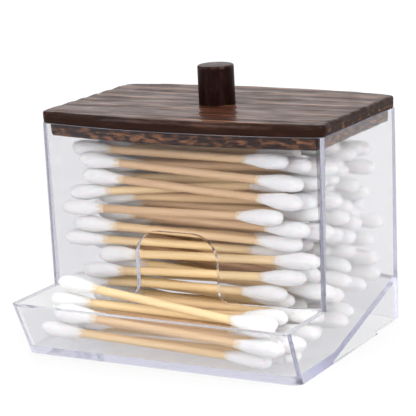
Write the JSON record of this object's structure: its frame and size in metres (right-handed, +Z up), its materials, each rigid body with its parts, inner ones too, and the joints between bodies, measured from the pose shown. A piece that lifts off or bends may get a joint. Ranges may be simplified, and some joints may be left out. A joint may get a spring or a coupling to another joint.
{
  "type": "cotton swab holder",
  "caption": "Clear moulded box with a sloping floor and an open front tray, filled with bamboo cotton swabs, under a lift-off wooden lid with a turned knob.",
  "frame": {"origin": "on the table, under the middle of the whole holder", "axes": "+Z up, the tray and finger notch face -Y, the swabs lie along X"},
  "size_m": [0.0938, 0.0793, 0.0817],
  "materials": {
    "clear_plastic": "clear, glossy moulded plastic with a faint blue tint at its edges",
    "dark_wood": "dark brown stained wood with raised grain and a satin varnish",
    "knob_wood": "near-black brown stained turned wood, satin",
    "screw_steel": "zinc-plated steel",
    "bamboo": "pale bamboo with fine lengthwise fibres",
    "cotton": "soft white wound cotton"
  },
  "bodies": {
    "box": {"clear_box": "clear_plastic", "hopper_swab_sticks": "bamboo", "hopper_swab_tips": "cotton", "tray_swab_sticks": "bamboo", "tray_swab_tips": "cotton"},
    "lid": {"lid": "dark_wood", "knob": "knob_wood", "knob_screw": "screw_steel"}
  },
  "joints": [
    {"name": "lid_lift", "type": "slide", "parent": "box", "child": "lid", "axis": [0, 0, 1], "range_m": [0, 0.06]}
  ]
}
